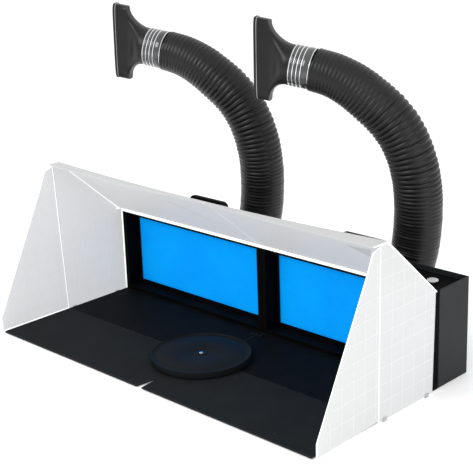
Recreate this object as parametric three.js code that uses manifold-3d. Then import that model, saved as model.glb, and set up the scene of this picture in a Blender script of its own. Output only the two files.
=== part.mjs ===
// Twin portable airbrush spray booth: two extractor housings side by side, each with a filter
// window, a fan and a flexible exhaust duct, joined under one clear folding hood and a hinged floor.
//
// Frame: millimetres, +X to the right, +Y to the back, +Z up. The origin is on the table, at the
// middle of the booth's footprint without its ducts.

import * as THREE from 'three';
import { mergeVertices } from 'three/addons/utils/BufferGeometryUtils.js';
import Module from 'manifold-3d';

const wasm = await Module();
wasm.setup();

// ---------------------------------------------------------------- driving dimensions
const GAP = 0.3;                       // clearance kept between pieces that touch
const UNIT_WIDTH = 420;                // one booth unit; two stand side by side
const HOUSING_DEPTH = 107;
const HOUSING_HEIGHT = 191;
const FLOOR_DEPTH = 337;               // spray floor, from the housing to its front edge
const PORT_LENGTH = 28;                // duct spigot behind the housing
const WALL = 2.5;                      // moulded wall of the housings
const SHEET = 2;                       // clear hood sheet

const FRONT_Y = -(FLOOR_DEPTH + HOUSING_DEPTH + PORT_LENGTH) / 2;
const FACE_Y = FRONT_Y + FLOOR_DEPTH;  // front face of the housings
const BACK_Y = FACE_Y + HOUSING_DEPTH;
const PORT_Y = BACK_Y + PORT_LENGTH;
const HALF = UNIT_WIDTH / 2 - GAP;     // half a unit, less the line between the two

// Front frame and filter pocket. The pocket's roof steps down behind the frame's plate.
const FRAME_PLATE = 14.5;
const WINDOW = { halfWidth: 198, low: 13, high: 187.5, roof: 175.8 };
const POCKET_DEPTH = 56;
const CASSETTE = { front: 30, depth: 14, clearance: 0.8, wall: 2, lip: 8, topLip: 3.2 };
const FILTER_THICK = 10;
const GRILLE_THICK = 2.4;

// Recess in the housing's top
const TRAY_Z = 181;
const TRAY_THICK = 2.2;
const BUTTON = { x: 161, y: FACE_Y + 62, radius: 11, stem: 5.5, travel: 2 };
const HANDLE = { width: 110, bar: 8, pivotY: FACE_Y + 66, pivotZ: TRAY_Z + 6, reach: 45 };

const PIN_RADIUS = 1.6;
const SOCKET = { x: -150, z: 40, radius: 6, bore: 3.6, seat: 3, depth: 10 };

// Fan and port, on one axis along Y
const PORT_Z = 100;
const PORT_BORE = 43.6;
const PORT_OUTER = 46.5;
const FAN = { radius: 60, hub: 20, front: FACE_Y + 62, depth: 14, chord: 20, blades: 7, ring: 64 };

// Floor
const FLOOR_LOW = 1.5;
const FLOOR_TOP = 4.5;
const FLOOR_SEAM_Y = FACE_Y - 170;
const BARREL = (FLOOR_TOP - FLOOR_LOW) / 2;
const FOOT_RADIUS = 4;

// Hood: side sheets lean out a little, the top sheet climbs forward and ends in a level visor.
// The sheet is flexible, so its two ends don't stand quite alike.
const SIDE_X = UNIT_WIDTH + 2;         // inner face of a side sheet at the floor
const SIDES = {
  left: { lean: 3.4, splay: 0.4, rear: UNIT_WIDTH + 12, outer: UNIT_WIDTH + 25, visor: 27, backLow: 2, backHigh: -8 },
  right: { lean: 0.55, splay: 2.7, rear: UNIT_WIDTH + 4, outer: UNIT_WIDTH + 7, visor: 38, backLow: 9, backHigh: 6 },
};
const SIDE_SEAM_Y = FACE_Y - 166;
const HOOD_Z = HOUSING_HEIGHT + 0.5;
const HOOD_RUN = 146;
const HOOD_PITCH = THREE.MathUtils.degToRad(41.8);
const HOOD_RISE = HOOD_RUN * Math.tan(HOOD_PITCH);
const VISOR_INNER = 6;
const CENTRE_X = 6.25;                 // puts the origin at the middle of the uneven hood

// Turntable
const TABLE = { y: FACE_Y - 175, radius: 98, base: 70, low: FLOOR_TOP + GAP, top: 17, rim: 19 };

// Exhaust duct: the route of its middle line, from the spigot up behind the housing and over to
// the left. x is counted from the unit's own middle.
const DUCT_RADIUS = 48;
const DUCT_WALL = 3;
const DUCT_ROUTE = [
  [0, 240, 100], [0, 265, 101], [0, 292, 113], [1, 312, 134], [5, 321, 165], [10, 323, 205],
  [14, 321, 250], [15, 317, 295], [12, 310, 338], [4, 301, 378], [-10, 290, 415],
  [-31, 276, 448], [-58, 260, 477], [-88, 245, 502], [-122, 229, 521], [-158, 213, 532],
];
const DUCT_END = new THREE.Vector3(...DUCT_ROUTE.at(-1));
const DUCT_AIM = new THREE.Vector3(-0.9, -0.4, 0.17).normalize();
const CUFF = { radius: 42, wall: 3, length: 43 };
const NOZZLE = { neck: 40, wall: 2.2, flare: 42, lip: 30, height: 160, thick: 30 };

// ---------------------------------------------------------------- materials
const material = (color, roughness, metalness = 0) =>
  new THREE.MeshStandardMaterial({ color, roughness, metalness });
const blackShell = material(0x24272a, 0.55);
const blackFloor = material(0x1f2224, 0.6);
const blackSmooth = material(0x141516, 0.4);
const filterBlue = material(0x0792f2, 0.9);
const clearSheet = material(0xe6e8e8, 0.35);
const greyButton = material(0xb4b6b8, 0.4);
const steel = material(0xb8bcc0, 0.3, 0.9);
const hoseBlack = material(0x1b1c1d, 0.5);
const cuffClear = material(0x9a9da0, 0.3);

// ---------------------------------------------------------------- solids
function solid(geometry) {
  const bare = geometry.clone();
  for (const name of ['normal', 'uv']) bare.deleteAttribute(name);
  const merged = mergeVertices(bare, 1e-4);
  return new wasm.Manifold(new wasm.Mesh({
    numProp: 3,
    vertProperties: merged.attributes.position.array,
    triVerts: Uint32Array.from(merged.index.array),
  }));
}

function surface(manifold) {
  const { vertProperties, triVerts } = manifold.getMesh();
  const geometry = new THREE.BufferGeometry();
  geometry.setAttribute('position', new THREE.BufferAttribute(vertProperties, 3));
  geometry.setIndex(new THREE.BufferAttribute(triVerts, 1));
  geometry.computeVertexNormals();
  return geometry;
}

const join = (first, ...others) =>
  surface(others.reduce((whole, piece) => whole.add(solid(piece)), solid(first)));

const cut = (body, ...tools) =>
  surface(tools.reduce((whole, tool) => whole.subtract(solid(tool)), solid(body)));

function block([x0, x1], [y0, y1], [z0, z1]) {
  return new THREE.BoxGeometry(x1 - x0, y1 - y0, z1 - z0)
    .translate((x0 + x1) / 2, (y0 + y1) / 2, (z0 + z1) / 2);
}

// A round bar along an axis, from one coordinate to another, with its middle at the other two.
function rod(axis, radius, from, to, [u, v], sides = 24) {
  const bar = new THREE.CylinderGeometry(radius, radius, to - from, sides);
  const middle = (from + to) / 2;
  if (axis === 'x') return bar.rotateZ(Math.PI / 2).translate(middle, u, v);
  if (axis === 'z') return bar.rotateX(Math.PI / 2).translate(u, v, middle);
  return bar.translate(u, middle, v);
}

function tube(axis, outer, inner, from, to, centre, sides = 28) {
  return cut(rod(axis, outer, from, to, centre, sides), rod(axis, inner, from - 1, to + 1, centre, sides));
}

// A sheet whose outline lies in the XY plane, with its thickness along +Z.
function plate(outline, depth, holes = []) {
  const shape = new THREE.Shape(outline.map(([x, y]) => new THREE.Vector2(x, y)));
  for (const hole of holes) shape.holes.push(new THREE.Path(hole.map(([x, y]) => new THREE.Vector2(x, y))));
  return new THREE.ExtrudeGeometry(shape, { depth, bevelEnabled: false });
}

// A sheet whose outline is given as (y, z), with its thickness along +X.
const uprightPlate = (outline, depth) => plate(outline, depth).rotateX(Math.PI / 2).rotateZ(Math.PI / 2);

// A closed hollow shell through rings of points: along the outside, and back along the inside.
function loft(outside, inside) {
  const rings = [...outside, ...inside.slice().reverse()];
  const around = rings[0].length;
  const geometry = new THREE.BufferGeometry();
  geometry.setAttribute('position', new THREE.Float32BufferAttribute(
    rings.flat().flatMap((point) => point.toArray()), 3));
  const index = [];
  rings.forEach((ring, row) => {
    const next = (row + 1) % rings.length;
    for (let i = 0; i < around; i += 1) {
      const j = (i + 1) % around;
      const [a, b, c, d] = [row * around + i, row * around + j, next * around + i, next * around + j];
      index.push(a, b, d, a, d, c);
    }
  });
  geometry.setIndex(index);
  return geometry;
}

const booth = new THREE.Group();

function add(parent, name, geometry, finish) {
  const mesh = new THREE.Mesh(geometry, finish);
  mesh.name = name;
  parent.add(mesh);
  return mesh;
}

// ---------------------------------------------------------------- housing, in its unit's frame
// A box open to the front and the top, with a round hole for the port.
function housingShell() {
  return cut(
    block([-HALF, HALF], [FACE_Y + FRAME_PLATE + GAP, BACK_Y], [0, HOUSING_HEIGHT]),
    block([-HALF + WALL, HALF - WALL], [FACE_Y, BACK_Y - WALL], [WALL, HOUSING_HEIGHT + 1]),
    rod('y', PORT_BORE, BACK_Y - 10, BACK_Y + 1, [0, PORT_Z], 28),
  );
}

// Sunk top of the housing, with two lugs whose pins carry the handle.
function topTray() {
  const x = HALF - WALL - GAP;
  const floor = cut(
    block([-x, x], [FACE_Y + FRAME_PLATE + GAP, BACK_Y - WALL - GAP], [TRAY_Z - TRAY_THICK, TRAY_Z]),
    rod('z', BUTTON.stem + 0.6, TRAY_Z - 10, TRAY_Z + 1, [BUTTON.x, BUTTON.y]),
  );
  const lugs = [-1, 1].flatMap((side) => {
    const inner = side * (HANDLE.width / 2 + 0.6);
    const outer = side * (HANDLE.width / 2 + 5.6);
    const lug = [Math.min(inner, outer), Math.max(inner, outer)];
    const pin = [Math.min(inner - side * 6, outer), Math.max(inner - side * 6, outer)];
    return [
      block(lug, [HANDLE.pivotY - 5, HANDLE.pivotY + 5], [TRAY_Z - 1, HANDLE.pivotZ + 4]),
      rod('x', PIN_RADIUS, pin[0], pin[1], [HANDLE.pivotY, HANDLE.pivotZ], 12),
    ];
  });
  return join(floor, ...lugs);
}

function frontFrame() {
  const { halfWidth, low, high, roof } = WINDOW;
  const depth = [FACE_Y, FACE_Y + POCKET_DEPTH];
  const pocket = block([-halfWidth - WALL, halfWidth + WALL], depth, [low - WALL, roof + WALL]);
  const panel = block([-HALF, HALF], [FACE_Y, FACE_Y + FRAME_PLATE], [0, HOUSING_HEIGHT]);
  const mouth = block([-halfWidth, halfWidth], [FACE_Y - 1, FACE_Y + FRAME_PLATE - WALL], [low, high]);
  const inside = block([-halfWidth, halfWidth], [FACE_Y - 1, FACE_Y + POCKET_DEPTH + 1], [low, roof]);
  return cut(join(panel, pocket), mouth, inside);
}

function filterGrille() {
  const { halfWidth, low, roof } = WINDOW;
  const [columns, rows, bar] = [6, 3, 5];
  const [x, z0, z1] = [halfWidth - GAP, low + GAP, roof - GAP];
  const depth = [FACE_Y + POCKET_DEPTH - GRILLE_THICK, FACE_Y + POCKET_DEPTH];
  const [across, up] = [(2 * x - bar) / columns, (z1 - z0 - bar) / rows];
  const cells = [];
  for (let i = 0; i < columns; i += 1) {
    for (let k = 0; k < rows; k += 1) {
      const [left, foot] = [-x + bar + i * across, z0 + bar + k * up];
      cells.push(block([left, left + across - bar], [depth[0] - 1, depth[1] + 1], [foot, foot + up - bar]));
    }
  }
  return cut(block([-x, x], depth, [z0, z1]), ...cells);
}

// Frame that holds the filter pad from the front and slides out with it.
function filterCassette() {
  const { front, depth, clearance, wall, lip, topLip } = CASSETTE;
  const x = WINDOW.halfWidth - clearance;
  const [z0, z1] = [WINDOW.low + clearance, WINDOW.roof - clearance];
  const [y0, y1] = [FACE_Y + front, FACE_Y + front + depth];
  return cut(
    block([-x, x], [y0, y1], [z0, z1]),
    block([-x + lip, x - lip], [y0 - 1, y1 + 1], [z0 + lip, z1 - topLip]),
    block([-x + wall, x - wall], [y0 + wall, y1 + 1], [z0 + wall, z1 - wall]),
  );
}

function filterPad() {
  const inset = CASSETTE.clearance + CASSETTE.wall + GAP;
  const [x, edge] = [WINDOW.halfWidth - inset, 2];
  const [z0, z1] = [WINDOW.low + inset, WINDOW.roof - inset];
  const outline = [[-x + edge, z0], [x - edge, z0], [x, z0 + edge], [x, z1 - edge],
    [x - edge, z1], [-x + edge, z1], [-x, z1 - edge], [-x, z0 + edge]];
  return plate(outline, FILTER_THICK).rotateX(Math.PI / 2)
    .translate(0, FACE_Y + CASSETTE.front + CASSETTE.wall + GAP + FILTER_THICK, 0);
}

// Square plate with a round duct for the blades, and four arms that carry the motor.
function fanShroud() {
  const back = FAN.front + FAN.depth + 6;
  const half = FAN.ring + 8;
  const square = block([-half, half], [back - 3, back], [PORT_Z - half, PORT_Z + half]);
  const open = cut(square, rod('y', FAN.ring, back - 10, back + 10, [0, PORT_Z], 28));
  const ring = tube('y', FAN.ring + 2.5, FAN.ring, FAN.front - 2, back, [0, PORT_Z]);
  const arms = [0, 1, 2, 3].map((quarter) =>
    block([-4, 4], [back - 3, back], [0, FAN.ring + 1])
      .rotateY(Math.PI / 4 + quarter * Math.PI / 2).translate(0, 0, PORT_Z));
  const boss = rod('y', 18, back - 3, back, [0, PORT_Z]);
  const posts = [[-1, -1], [-1, 1], [1, -1], [1, 1]].map(([sx, sz]) =>
    rod('y', 4, back - 1, BACK_Y - WALL - GAP, [sx * (half - 5), PORT_Z + sz * (half - 5)], 12));
  return cut(join(open, ring, boss, ...arms, ...posts), rod('y', 3.2, back - 9, back + 9, [0, PORT_Z], 16));
}

function fanImpeller() {
  const blades = Array.from({ length: FAN.blades }, (_, i) =>
    block([-FAN.chord / 2, FAN.chord / 2], [-1, 1], [FAN.hub - 3, FAN.radius])
      .rotateZ(THREE.MathUtils.degToRad(32)).translate(0, FAN.front + FAN.depth / 2, 0)
      .rotateY(i * 2 * Math.PI / FAN.blades).translate(0, 0, PORT_Z));
  const hub = rod('y', FAN.hub, FAN.front, FAN.front + FAN.depth, [0, PORT_Z], 28);
  const bore = rod('y', 2.4, FAN.front + 4, FAN.front + FAN.depth + 1, [0, PORT_Z], 16);
  return cut(join(hub, ...blades), bore);
}

function fanMotor() {
  const seat = FAN.front + FAN.depth + 6 + GAP;
  return join(
    rod('y', 16, seat, seat + 17, [0, PORT_Z], 28),
    rod('y', 7, seat + 16, seat + 19, [0, PORT_Z], 16),
    rod('y', 2, FAN.front + 6, seat + 1, [0, PORT_Z], 16),
  );
}

function outletCollar() {
  return join(
    tube('y', PORT_OUTER + 11, PORT_BORE, BACK_Y + GAP, BACK_Y + 3.5, [0, PORT_Z]),
    tube('y', PORT_OUTER, PORT_BORE, BACK_Y + GAP, PORT_Y, [0, PORT_Z]),
  );
}

function powerSocket() {
  const centre = [SOCKET.x, SOCKET.z];
  const end = BACK_Y + SOCKET.seat + SOCKET.depth;
  const boss = join(
    rod('y', SOCKET.radius + 2.4, BACK_Y + GAP, BACK_Y + 2.3, centre),
    rod('y', SOCKET.radius, BACK_Y + GAP, end, centre),
  );
  return cut(boss, rod('y', SOCKET.bore, BACK_Y + SOCKET.seat, end + 1, centre));
}

function powerButton() {
  const under = TRAY_Z + BUTTON.travel + 0.5;
  const centre = [BUTTON.x, BUTTON.y];
  return join(
    rod('z', BUTTON.radius, under, under + 2.4, centre, 32),
    rod('z', BUTTON.radius - 1.2, under + 2, under + 3.4, centre, 32),
    rod('z', BUTTON.stem, TRAY_Z - 9, under + 1, centre),
  );
}

// A bail in the XZ plane, upright, with a bore through the foot of each leg.
function carryHandle() {
  const { width, bar, pivotY, pivotZ, reach } = HANDLE;
  const [outer, round] = [width / 2, 12];
  const shape = new THREE.Shape();
  shape.moveTo(-outer, -4);
  shape.lineTo(-outer + bar, -4);
  shape.lineTo(-outer + bar, reach - bar / 2 - (round - bar));
  shape.absarc(-outer + round, reach + bar / 2 - round, round - bar, Math.PI, Math.PI / 2, true);
  shape.absarc(outer - round, reach + bar / 2 - round, round - bar, Math.PI / 2, 0, true);
  shape.lineTo(outer - bar, -4);
  shape.lineTo(outer, -4);
  shape.absarc(outer - round, reach + bar / 2 - round, round, 0, Math.PI / 2, false);
  shape.absarc(-outer + round, reach + bar / 2 - round, round, Math.PI / 2, Math.PI, false);
  const bail = new THREE.ExtrudeGeometry(shape, { depth: bar, bevelEnabled: false, curveSegments: 5 })
    .rotateX(Math.PI / 2).translate(0, pivotY + bar / 2, pivotZ);
  return cut(bail, rod('x', PIN_RADIUS + 0.5, -outer - 1, outer + 1, [pivotY, pivotZ], 12));
}

// ---------------------------------------------------------------- floor, one sheet each side
const foot = (x, y) => rod('z', FOOT_RADIUS, 0, FLOOR_LOW + 0.5, [x, y], 12);

function rearFloor() {
  const sheet = block([GAP, UNIT_WIDTH - GAP], [FLOOR_SEAM_Y + BARREL + 0.4, FACE_Y - GAP], [FLOOR_LOW, FLOOR_TOP]);
  const [near, far, back] = [40, UNIT_WIDTH - 20, FLOOR_SEAM_Y + 14];
  return join(sheet, foot(near, back), foot(far, back));
}

// The inner front corner is cut back, so that the two flaps leave a wedge between them.
function frontFlap() {
  const [inner, outer, wedge] = [GAP, UNIT_WIDTH - GAP, 7];
  const outline = [[inner, FLOOR_SEAM_Y], [inner, FRONT_Y + 52], [wedge, FRONT_Y],
    [outer, FRONT_Y], [outer, FLOOR_SEAM_Y]];
  const sheet = plate(outline, FLOOR_TOP - FLOOR_LOW).translate(0, 0, FLOOR_LOW);
  const barrel = rod('x', BARREL, inner, outer, [FLOOR_SEAM_Y, FLOOR_LOW + BARREL], 16);
  return join(sheet, barrel, foot(30, FRONT_Y + 6), foot(UNIT_WIDTH - 26, FRONT_Y + 6));
}

// ---------------------------------------------------------------- hood
const hoodUnder = (y) => HOOD_Z + Math.min(FACE_Y - y, HOOD_RUN) * Math.tan(HOOD_PITCH);

// Outlines of the side sheets as (y, z).
function rearSideOutline({ backLow, backHigh }) {
  const [seam, slack] = [SIDE_SEAM_Y + GAP, 1.6];
  const [low, high, crease] = [FACE_Y - backLow, FACE_Y - backHigh, FACE_Y - HOOD_RUN];
  const top = (y) => [y, hoodUnder(y) - slack];
  const shoulder = backHigh < 3 ? [top(FACE_Y - 5), [FACE_Y - 5, HOOD_Z - 3]] : [];
  const end = backHigh < 3 ? [high, HOOD_Z - 3] : top(high);
  return [[seam, 1], [low, 1], end, ...shoulder.reverse(), top(crease), top(seam)];
}

function wingOutline() {
  const seam = SIDE_SEAM_Y - GAP;
  const foot = FLOOR_TOP + 0.7;
  return [[FRONT_Y - 1, foot], [seam, foot], [seam, HOOD_Z + HOOD_RISE - 2.4], [FACE_Y - 187, 313],
    [FACE_Y - 202, 281], [FRONT_Y - 1, 32]];
}

// One side of the hood: both sheets lean out about the line where they meet the floor, and the
// wing stands turned out a little about the seam between them.
function hoodSide(side, name) {
  const { lean, splay } = SIDES[name];
  const group = new THREE.Group();
  group.position.set(side * SIDE_X, 0, 0);
  group.rotation.y = side * THREE.MathUtils.degToRad(lean);
  const inset = side > 0 ? 0 : -SHEET;
  add(group, `side_panel_${name}`, uprightPlate(rearSideOutline(SIDES[name]), SHEET).translate(inset, 0, 0), clearSheet);
  const sheet = uprightPlate(wingOutline(), SHEET).translate(inset, -SIDE_SEAM_Y, 0);
  const wing = add(group, `side_wing_${name}`, sheet, clearSheet);
  wing.position.y = SIDE_SEAM_Y;
  wing.rotation.z = side * THREE.MathUtils.degToRad(splay);
  booth.add(group);
}

// Right half of the top: a pitched sheet with a lip that hooks over the housing's front edge, and
// a level visor that is deepest at its outer end.
function topPanel({ rear, outer, visor }) {
  const slant = HOOD_RUN / Math.cos(HOOD_PITCH);
  const pitched = plate([[GAP, 0], [rear, 0], [outer, -slant], [GAP, -slant]], SHEET)
    .rotateX(-HOOD_PITCH).translate(0, FACE_Y - 0.5, HOOD_Z);
  const crease = FACE_Y - 0.5 - HOOD_RUN;
  const level = plate([[GAP, crease + 2], [outer, crease + 2], [outer, crease - visor],
    [GAP, crease - VISOR_INNER]], SHEET).translate(0, 0, HOOD_Z + HOOD_RISE);
  const lip = block([GAP, UNIT_WIDTH - 1], [FACE_Y - 2.8, FACE_Y - 0.8], [HOUSING_HEIGHT - 4, HOOD_Z + 1.5]);
  return join(pitched, level, lip);
}

// U-clip that holds the foot of a side sheet against the floor's edge.
function sideClip(y) {
  const span = [y - 5, y + 5];
  return join(
    block([UNIT_WIDTH, UNIT_WIDTH + 1.6], span, [0, 5]),
    block([UNIT_WIDTH, UNIT_WIDTH + 6.4], span, [0, 0.7]),
    block([UNIT_WIDTH + 4.9, UNIT_WIDTH + 6.4], span, [0, 7]),
  );
}

// ---------------------------------------------------------------- turntable
// Turned about Z; the profile is given as (radius, height), anticlockwise.
const turned = (profile, sides) =>
  new THREE.LatheGeometry(profile.map(([r, z]) => new THREE.Vector2(r, z)), sides)
    .rotateX(Math.PI / 2);

function turntablePlatter() {
  const { radius, low, top, rim } = TABLE;
  const [under, hole] = [low + 4.5, 3.2];
  return turned([[hole, under], [radius - 4, under], [radius, under + 2.2], [radius, rim - 0.8],
    [radius - 0.8, rim], [radius - 2.4, rim], [radius - 3.4, top], [hole, top], [hole, under]], 48)
    .translate(0, TABLE.y, 0);
}

const turntableBase = () => rod('z', TABLE.base, TABLE.low, TABLE.low + 4.2, [0, TABLE.y], 40);

const turntablePin = () => join(
  rod('z', 2.7, TABLE.low + 4.5, TABLE.top + 1, [0, TABLE.y], 16),
  rod('z', 4.4, TABLE.top + GAP, TABLE.top + 1.8, [0, TABLE.y], 16),
);

const unitClip = () => join(
  block([-15, 15], [FACE_Y - 22, FACE_Y - 12], [FLOOR_TOP + GAP, FLOOR_TOP + 2]),
  ...[-10, 0, 10].map((x) => rod('z', 2.4, FLOOR_TOP + 1, FLOOR_TOP + 3, [x, FACE_Y - 17], 12)),
);

// ---------------------------------------------------------------- exhaust duct
const circle = (radius, sides) => Array.from({ length: sides }, (_, i) => {
  const angle = 2 * Math.PI * i / sides;
  return [radius * Math.cos(angle), radius * Math.sin(angle)];
});

function ductHose() {
  const route = new THREE.CatmullRomCurve3(DUCT_ROUTE.map((point) => new THREE.Vector3(...point)));
  const vectors = (points) => points.map(([x, y]) => new THREE.Vector2(x, y));
  const section = new THREE.Shape(vectors(circle(DUCT_RADIUS, 12)));
  section.holes.push(new THREE.Path(vectors(circle(DUCT_RADIUS - DUCT_WALL, 12))));
  return new THREE.ExtrudeGeometry(section, { steps: 16, extrudePath: route });
}

// Directions at the duct's free end: along it, level across it, and up across it.
const ACROSS = new THREE.Vector3(0, 0, 1).cross(DUCT_AIM).normalize();
const UPWARD = DUCT_AIM.clone().cross(ACROSS);
const MOUTH_UP = new THREE.Vector3(0.02, 0, 1).normalize();
const atEnd = (along, across, height, up = UPWARD) => DUCT_END.clone()
  .addScaledVector(DUCT_AIM, along).addScaledVector(ACROSS, across).addScaledVector(up, height);

function ductCuff() {
  const ring = (radius, along) => circle(radius, 24).map(([a, u]) => atEnd(along, a, u));
  const [outer, inner] = [CUFF.radius, CUFF.radius - CUFF.wall];
  return loft([ring(outer, 0), ring(outer, CUFF.length)], [ring(inner, 0), ring(inner, CUFF.length)]);
}

// Fishtail nozzle: a round neck that flares into a tall, thin mouth.
function ductNozzle() {
  const start = CUFF.length + GAP;
  const neckLength = 6;
  const ring = (along, inset) => {
    const t = THREE.MathUtils.clamp((along - neckLength) / NOZZLE.flare, 0, 1);
    const rise = 1 - Math.sqrt(1 - t * t);
    const tall = THREE.MathUtils.lerp(NOZZLE.neck, NOZZLE.height / 2, rise) - inset;
    const thin = THREE.MathUtils.lerp(NOZZLE.neck, NOZZLE.thick / 2, THREE.MathUtils.smoothstep(t, 0, 1)) - inset;
    const square = THREE.MathUtils.lerp(1, 0.3, THREE.MathUtils.smoothstep(t, 0, 1));
    const up = UPWARD.clone().lerp(MOUTH_UP, t).normalize();
    return circle(1, 24).map(([a, u]) => atEnd(
      start + along,
      thin * Math.sign(a) * Math.abs(a) ** square,
      tall * Math.sign(u) * Math.abs(u) ** square,
      up,
    ));
  };
  const mouth = neckLength + NOZZLE.flare + NOZZLE.lip;
  const stations = [0, neckLength, ...[0.35, 0.6, 0.8, 0.93, 1].map((t) => neckLength + t * NOZZLE.flare)];
  const outside = [...stations.map((s) => ring(s, 0)), ring(mouth - 6, 0), ring(mouth - 5, -1.6), ring(mouth, -1.6)];
  const inside = [...stations, mouth].map((s) => ring(s, NOZZLE.wall));
  return loft(outside, inside);
}

// ---------------------------------------------------------------- assembly
// The same geometry for the other side of the booth.
function mirrored(geometry) {
  const copy = (geometry.index ? geometry : mergeVertices(geometry)).clone().scale(-1, 1, 1);
  const { array } = copy.index;
  for (let i = 0; i < array.length; i += 3) [array[i], array[i + 1]] = [array[i + 1], array[i]];
  return copy;
}

for (const [name, side] of [['left', -1], ['right', 1]]) {
  const unit = new THREE.Group();
  unit.position.x = side * UNIT_WIDTH / 2;
  add(unit, `housing_shell_${name}`, housingShell(), blackShell);
  add(unit, `top_tray_${name}`, topTray(), blackShell);
  add(unit, `front_frame_${name}`, frontFrame(), blackSmooth);
  add(unit, `filter_grille_${name}`, filterGrille(), blackSmooth);
  add(unit, `filter_cassette_${name}`, filterCassette(), blackSmooth);
  add(unit, `filter_pad_${name}`, filterPad(), filterBlue);
  add(unit, `fan_shroud_${name}`, fanShroud(), blackSmooth);
  add(unit, `fan_impeller_${name}`, fanImpeller(), blackSmooth);
  add(unit, `fan_motor_${name}`, fanMotor(), steel);
  add(unit, `outlet_collar_${name}`, outletCollar(), blackSmooth);
  add(unit, `power_socket_${name}`, powerSocket(), blackSmooth);
  add(unit, `power_button_${name}`, powerButton(), greyButton);
  add(unit, `carry_handle_${name}`, carryHandle(), blackSmooth);
  add(unit, `duct_hose_${name}`, ductHose(), hoseBlack);
  add(unit, `duct_cuff_${name}`, ductCuff(), cuffClear);
  add(unit, `duct_nozzle_${name}`, ductNozzle(), blackSmooth);
  booth.add(unit);

  const handed = (geometry) => (side > 0 ? geometry : mirrored(geometry));
  add(booth, `rear_floor_${name}`, handed(rearFloor()), blackFloor);
  add(booth, `front_flap_${name}`, handed(frontFlap()), blackFloor);
  add(booth, `top_panel_${name}`, handed(topPanel(SIDES[name])), clearSheet);
  add(booth, `side_clip_rear_${name}`, handed(sideClip(FACE_Y - 28)), blackSmooth);
  add(booth, `side_clip_front_${name}`, handed(sideClip(FACE_Y - 150)), blackSmooth);
  hoodSide(side, name);
}

add(booth, 'turntable_base', turntableBase(), blackSmooth);
add(booth, 'turntable_platter', turntablePlatter(), blackFloor);
add(booth, 'turntable_pin', turntablePin(), steel);
add(booth, 'unit_clip', unitClip(), blackSmooth);
booth.position.x = CENTRE_X;

export default booth;
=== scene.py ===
# %% [markdown]
# # Twin airbrush spray booth
# The booth is two black extractor housings side by side. Each one draws paint mist through a blue
# filter and blows it out through a ribbed duct that ends in a flat nozzle. A frosted plastic hood
# folds out over a thin black floor, and a turntable stands in the middle.
# The frame already holds every part at its real size and place. This script gives each part the
# surface that the real one has, and stands it in a plain studio.

# %% Load the frame
import math
import random

import bmesh
import bpy
import numpy as np
from mathutils import Matrix, Vector, noise


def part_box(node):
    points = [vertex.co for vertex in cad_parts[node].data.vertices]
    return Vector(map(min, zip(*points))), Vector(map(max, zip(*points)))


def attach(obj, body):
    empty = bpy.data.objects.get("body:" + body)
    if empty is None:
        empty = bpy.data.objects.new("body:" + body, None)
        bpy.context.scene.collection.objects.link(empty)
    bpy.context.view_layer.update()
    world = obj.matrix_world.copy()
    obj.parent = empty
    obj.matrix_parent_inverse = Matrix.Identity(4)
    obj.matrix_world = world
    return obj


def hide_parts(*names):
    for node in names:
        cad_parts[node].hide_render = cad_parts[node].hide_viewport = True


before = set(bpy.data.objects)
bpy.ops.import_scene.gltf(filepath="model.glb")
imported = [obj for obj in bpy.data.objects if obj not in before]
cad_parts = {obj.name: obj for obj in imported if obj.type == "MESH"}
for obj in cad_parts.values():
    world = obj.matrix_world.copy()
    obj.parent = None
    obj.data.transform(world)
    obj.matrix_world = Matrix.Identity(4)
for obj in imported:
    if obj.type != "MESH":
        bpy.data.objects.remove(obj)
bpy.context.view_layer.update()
UNITS = {"left": -1, "right": 1}
MM = 0.001
unit_x = {unit: sum(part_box(f"front_frame_{unit}"), Vector()).x / 2 for unit in UNITS}

# %% [markdown]
# ## Camera
# The camera stands to the booth's front right and a little above it. It could be aimed with a
# Track To constraint, but a slight roll is easier to give by building its three axes by hand:
# first the line of sight, then the level direction to its right, and last the direction up.

# %% Camera
CAMERA_AZIMUTH = math.radians(44.637)
CAMERA_ELEVATION = math.radians(17.705)
CAMERA_ROLL = math.radians(-1.984)
CAMERA_PLACE = Vector((1.57205, -1.5510, 0.9440))
CAMERA_LENS = 91.61

sight = Vector((
    -math.sin(CAMERA_AZIMUTH) * math.cos(CAMERA_ELEVATION),
    math.cos(CAMERA_AZIMUTH) * math.cos(CAMERA_ELEVATION),
    -math.sin(CAMERA_ELEVATION),
))
level = sight.cross(Vector((0, 0, 1))).normalized()
upright = level.cross(sight)
right = level * math.cos(CAMERA_ROLL) + upright * math.sin(CAMERA_ROLL)
top = upright * math.cos(CAMERA_ROLL) - level * math.sin(CAMERA_ROLL)

camera = bpy.data.objects.new("camera", bpy.data.cameras.new("camera"))
camera.matrix_world = Matrix.Translation(CAMERA_PLACE) @ Matrix((right, top, -sight)).transposed().to_4x4()
camera.data.lens = CAMERA_LENS
camera.data.sensor_width = 36
bpy.context.scene.collection.objects.link(camera)
bpy.context.scene.camera = camera
print("camera at", tuple(round(x, 3) for x in camera.location))

# %% [markdown]
# ## Small tools for meshes
# Every piece is a list of points and faces, so one helper turns such lists into an object. A
# second one lays rows of points side by side and joins neighbouring rows with faces. Ducts,
# nozzles and turned pieces are all such lofts, so one loft serves them all.

# %% Mesh helpers
def shaded(mesh, sharp_degrees=35):
    """Smooth shading, except across edges sharper than that."""
    mesh.shade_smooth()
    mesh.set_sharp_from_angle(angle=math.radians(sharp_degrees))


def piece_from(name, points, faces, sharp_degrees=35):
    """A new object with those points and faces, its faces turned outwards."""
    mesh = bpy.data.meshes.new(name)
    mesh.from_pydata([tuple(p) for p in points], [], faces)
    work = bmesh.new()
    work.from_mesh(mesh)
    bmesh.ops.remove_doubles(work, verts=work.verts, dist=1e-7)
    bmesh.ops.recalc_face_normals(work, faces=work.faces)
    work.to_mesh(mesh)
    work.free()
    shaded(mesh, sharp_degrees)
    made = bpy.data.objects.new(name, mesh)
    bpy.context.scene.collection.objects.link(made)
    return made


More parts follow.
